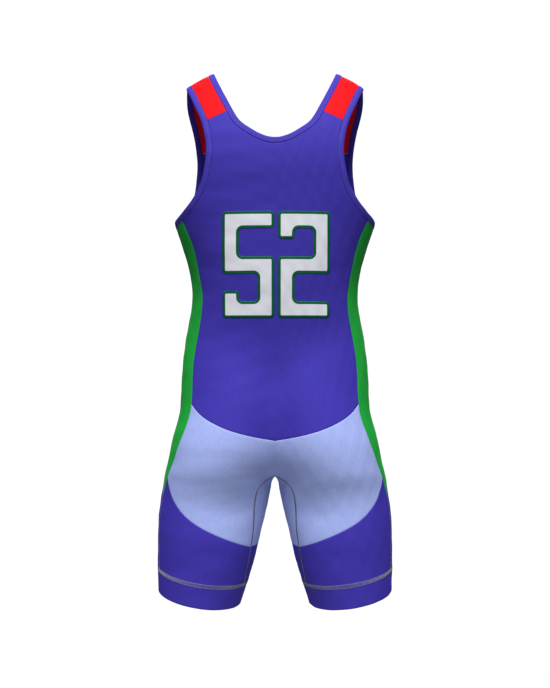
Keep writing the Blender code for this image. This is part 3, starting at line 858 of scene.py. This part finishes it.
def spun(name, colour):
    """Spun polyester thread: matt, with a slight shine and shade painted into its colour along its
    twisted plies.
    """
    material, tree, shader = new_material(name, Roughness=0.55)
    place = node(tree, "ShaderNodeTexCoord")
    # painted shine and shade: small noise spots make the thread's colour lighter and darker, in
    # place of light on its plies
    painted_twist_shading = node(tree, "ShaderNodeTexNoise", [("Vector", place.outputs["Object"])],
                 Scale=1500.0, Detail=1.0)
    shaded(tree, shader, painted_twist_shading.outputs["Fac"], colour, 0.6, 1.3)
    return material


thread_materials = {key: spun(key + "_thread", code) for key, code in THREADS.items()}


def walk(path, step):
    """Even steps along a line of points."""
    run = run_along(path)
    at = np.linspace(0, run[-1], max(2, int(run[-1] / step) + 1))
    return np.stack([np.interp(at, run, path[:, k]) for k in range(3)], 1)


def aside(path, distance):
    """A line moved sideways over the form, to the left of its travel, by a distance or many."""
    way = unit(np.gradient(path, axis=0))
    left = np.cross(normals(path), way)
    return settle(path + np.broadcast_to(distance, len(path))[:, None] * left, 4)


def zigzag(path, half, pitch):
    """A line that swings from side to side of a path."""
    steps = walk(path, pitch / 2)
    return aside(steps, half * np.where(np.arange(len(steps)) % 2, 1, -1))


def dashes(path, stitch=2.2, gap=0.9):
    """Short straight stitches along a path, as separate runs."""
    steps = walk(path, (stitch + gap) / 4)
    return [steps[i:i + 4] for i in range(0, len(steps) - 3, 4)]


def sew(name, runs, colour, lift=0.12, thick=THREAD):
    """Runs of thread on the cloth as one curve object."""
    curve = bpy.data.curves.new(name, "CURVE")
    curve.dimensions = "3D"
    curve.bevel_depth, curve.bevel_resolution = thick / 2 * MM, 1
    curve.use_fill_caps = True
    for run in runs:
        laid = draped(run, normals(run), lift) * MM
        line = curve.splines.new("POLY")
        line.points.add(len(laid) - 1)
        for point, place in zip(line.points, laid):
            point.co = (*place, 1)
    curve.materials.append(thread_materials[colour])
    sewn = bpy.data.objects.new(name, curve)
    bpy.context.collection.objects.link(sewn)
    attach(sewn, "root")
    return sewn


# %% Hems, inseams and side seams
BAND = 5.5             # width of the coverstitch band
FLATLOCK = 3.4         # width of the inseam's stitches
SEAM_TOP = -618.0      # where the short seam in the middle of the seat ends
hem_line = ring(HEM_DEPTH - BAND / 2, 0, 360, 240)
inseam = np.concatenate([inseam_high, inseam_low[1:]])
side_seam = np.concatenate([side_high, side_low[1:]])
for side, flip in (("left", lambda line: line), ("right", mirror)):
    hem_run, inseam_run, side_run = flip(hem_line), flip(inseam), flip(side_seam)
    sew(f"hem_coverstitch_{side}",
            [zigzag(hem_run, BAND / 2 - 0.3, 1.9), zigzag(hem_run, BAND / 2 - 0.5, 2.3),
             aside(walk(hem_run, 2), BAND / 2), aside(walk(hem_run, 2), -BAND / 2)], "grey")
    sew(f"inseam_flatlock_{side}",
            [zigzag(inseam_run, FLATLOCK / 2, 1.6), zigzag(inseam_run, FLATLOCK / 2 - 0.4, 2.1),
             walk(inseam_run, 2)], "grey")
    sew(f"side_flatlock_{side}", [zigzag(side_run, 1.0, 1.6)], "grey")

middle = walk(seat_middle["back"], 1.0)
sew("seat_middle_stitches", dashes(middle[middle[:, 2] < SEAM_TOP]), "grey",
                         0.1, 0.3)

# %% Rows along the bindings
NECK_ROW, ARM_ROWS = 0.66, (0.60, 0.93)      # share of the binding's width from its free edge
for name, (edge, inner) in loops.items():
    shares = (NECK_ROW,) if name == "neck_binding" else ARM_ROWS
    runs = []
    for share in shares:
        runs += dashes(settle(edge * (1 - share) + inner * share, 4))
    sew(name + "_stitches", runs, "violet", 0.62, 0.34)

# %% [markdown]
# ## A lifter's number
#
# The back carries a large two-figure number in white film with a narrow green edge. The
# figures here are plain block ones made of straight strokes. Each is drawn flat as one face,
# its corners are rounded, and an inset parts the edge from the white. It is then cut into
# small squares, so that it can lie on the curved cloth.

# %% Block figures
FIGURE_WIDE, FIGURE_HIGH, STROKE, FILM_EDGE = 81.0, 163.0, 26.0, 4.4
FIGURE_TOP = -238.0
FIGURE_LEFT = {"5": 82.0, "2": -4.5}   # x of the left side as seen from behind
FILM_LIFT, FILM_THICK, FILM_CUT = 0.32, 0.2, 3.0


def strokes(figure):
    """The outline of a block figure: pairs across and up from its lower left corner."""
    w, h, t = FIGURE_WIDE, FIGURE_HIGH, STROKE
    middle = (h - t) / 2
    foot = h * 0.26
    five = [(0, 0), (w, 0), (w, middle + t), (t, middle + t), (t, h - t), (w, h - t), (w, h),
            (0, h), (0, middle), (w - t, middle), (w - t, t), (t, t), (t, foot), (0, foot)]
    return five if figure == "5" else [(x, h - y) for x, y in five[::-1]]


def film(name, finishes):
    """One figure as a thin film that lies on the back, in a finish for its face and its edge."""
    bm = bmesh.new()
    for x, y in strokes(name):
        bm.verts.new((x, y, 0))
    face = bm.faces.new(bm.verts)
    bmesh.ops.bevel(bm, geom=bm.verts[:], offset=6.0, affect="VERTICES", segments=4,
                    profile=0.5, material=-1)
    bm.faces.ensure_lookup_table()
    edge = bmesh.ops.inset_individual(bm, faces=bm.faces[:], thickness=FILM_EDGE,
                                      use_even_offset=True)["faces"]
    for ring_face in edge:
        ring_face.material_index = 1
    for axis, size in ((0, FIGURE_WIDE), (1, FIGURE_HIGH)):
        for cut in np.arange(FILM_CUT, size, FILM_CUT):
            place, way = [0, 0, 0], [0, 0, 0]
            place[axis], way[axis] = cut, 1
            bmesh.ops.bisect_plane(bm, geom=bm.verts[:] + bm.edges[:] + bm.faces[:],
                                   plane_co=place, plane_no=way, dist=0.001)
    left = FIGURE_LEFT[name]
    base = FIGURE_TOP - FIGURE_HIGH
    points = facing([(left - vertex.co.x, base + vertex.co.y) for vertex in bm.verts], 1)
    flat = bm.loops.layers.uv.new("UVMap")
    for vertex, place in zip(bm.verts, draped(points, normals(points), FILM_LIFT)):
        for loop in vertex.link_loops:
            loop[flat].uv = vertex.co.xy * MM
        vertex.co = place * MM
    bmesh.ops.recalc_face_normals(bm, faces=bm.faces)
    bm.normal_update()
    if sum(face.normal.y for face in bm.faces) < 0:
        bmesh.ops.reverse_faces(bm, faces=bm.faces)
    mesh = meshed("figure_" + name, bm)
    mesh.shade_smooth()
    for finish in finishes:
        mesh.materials.append(finish)
    figure = bpy.data.objects.new("figure_" + name, mesh)
    bpy.context.collection.objects.link(figure)
    wall = figure.modifiers.new("film thickness", "SOLIDIFY")
    wall.thickness, wall.offset = FILM_THICK * MM, -1
    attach(figure, "root")
    return figure


film_white = knit("white_number_film", PRINT_WHITE, 0.5, 0.0, 0.3)
film_green = knit("green_film_edge", PRINT_GREEN, 0.5, 0.0, 0.3)
[film(name, (film_white, film_green)) for name in "52"]

# %% [markdown]
# ## Place in the photograph
#
# The photograph looks level at the back. Its distance was worked out from how the hems and
# the shoulders line up, and gives 1.64 mm a pixel in the plane through the shoulders.

# %% Camera
PIXEL, DISTANCE = 1.64, 1567.0
PHOTO_HEIGHT, TOP_ROW = 688, 75.0

camera = bpy.data.objects.new("camera", bpy.data.cameras.new("camera"))
camera.data.sensor_fit = "VERTICAL"
camera.data.sensor_height = 36
camera.data.lens = 36 * DISTANCE / (PHOTO_HEIGHT * PIXEL)
camera.location = (0, DISTANCE * MM, -(PHOTO_HEIGHT / 2 - TOP_ROW) * PIXEL * MM)
camera.rotation_euler = (math.radians(90), 0, math.radians(180))
bpy.context.collection.objects.link(camera)
bpy.context.scene.camera = camera
print("lens:", round(camera.data.lens, 2), "mm")

# %% [markdown]
# ## Light and floor
#
# The photograph is a studio picture on white: one broad soft light high above the camera, a
# weak one level with it, a rim light from behind, and a background lit to pure white. The room
# is white only where it is seen and dim where it gives light, so the lamps shape the form.

# %% Lights, room and floor
LAMPS = [
    # name, height, turn from the camera and softness in degrees, power in W/m2
    ("key", 62.0, 0.0, 28.0, 5.2),
    ("fill", 6.0, 0.0, 40.0, 0.38),
    ("behind", 30.0, 180.0, 50.0, 1.2),
]
ROOM_SEEN, ROOM_GIVEN = 1.05, 0.14
FLOOR_Z, FLOOR_RADIUS, FLOOR_GREY = -1.45, 0.75, 0.5


def lamp(name, height, turn, softness, power):
    """A far soft light, `height` degrees up and turned from the camera's side of the room."""
    light = bpy.data.lights.new(name, "SUN")
    light.energy, light.angle = power, math.radians(softness)
    lamp_object = bpy.data.objects.new(name, light)
    lamp_object.rotation_euler = (math.radians(height - 90), 0, math.radians(turn))
    lamp_object.location = (0, 0, 2)
    bpy.context.collection.objects.link(lamp_object)


for row in LAMPS:
    lamp(*row)

world = bpy.data.worlds.new("white_room")
world.use_nodes = True
sky = world.node_tree
seen = node(sky, "ShaderNodeLightPath")
level = node(sky, "ShaderNodeMapRange", [("Value", seen.outputs["Is Camera Ray"])],
             To_Min=ROOM_GIVEN, To_Max=ROOM_SEEN)
room = sky.nodes["Background"]
room.inputs["Color"].default_value = (1, 1, 1, 1)
sky.links.new(level.outputs[0], room.inputs["Strength"])
bpy.context.scene.world = world
bpy.context.scene.view_settings.view_transform = "Standard"

bm = bmesh.new()
bmesh.ops.create_circle(bm, cap_ends=True, segments=96, radius=FLOOR_RADIUS)
bmesh.ops.translate(bm, verts=bm.verts, vec=(0, 0, FLOOR_Z))
floor_mesh = meshed("floor", bm)
floor_mesh.materials.append(new_material("white_paper", Roughness=0.95,
                                         Base_Color=(*[FLOOR_GREY] * 3, 1))[0])
floor = bpy.data.objects.new("floor", floor_mesh)
bpy.context.collection.objects.link(floor)

# %% [markdown]
# ## Cut sizes
#
# Each piece was cut smaller than it lies here, because the knit is stretched by about a tenth
# each way when it is worn. These are the sizes of the flat pieces.

# %% Printing the cut sizes
STRETCH = 1.1          # worn length over cut length
LEAST_SHARE = 0.3      # of the flat rectangle that a piece fills
CUT = {
    # width, length of the flat piece in metres
    "back_panel": (0.30, 0.48), "front_panel": (0.33, 0.45),
    "seat_back": (0.39, 0.23), "seat_front": (0.58, 0.26),
    "side_back": (0.085, 0.42), "side_front": (0.125, 0.45),
    "leg_back": (0.20, 0.19), "leg_front": (0.31, 0.19),
    "yoke": (0.05, 0.25),
    "neck_binding": (0.012, 0.89), "armhole_binding": (0.012, 0.60),   # folded in two
}
HANGS_ON = {
    "back_panel": ["yoke_left", "yoke_right"], "front_panel": ["yoke_left", "yoke_right"],
    "seat_back": ["back_panel"], "seat_front": ["front_panel"],
}
for name, piece in made.items():
    kind = name.rsplit("_left", 1)[0].rsplit("_right", 1)[0]
    width, length = CUT[kind]
    area = min(max(areas[name] / STRETCH**2, LEAST_SHARE * width * length), width * length)
    side = "left" if name.endswith("left") else "right"
    upper = {"side": [f"armhole_binding_{side}"], "leg": [kind.replace("leg", "seat")],
             "neck": ["yoke_left", "yoke_right"], "armhole": [f"yoke_{side}"],
             "yoke": ["neck_binding", f"armhole_binding_{side}"]}
    on = HANGS_ON.get(name) or upper[name.split("_")[0]]
    on = [part + "_cloth" for part in on]
    print(f"{name}: cut {width * 1000:.0f} x {length * 1000:.0f} mm, {area * 1e4:.0f} cm2")
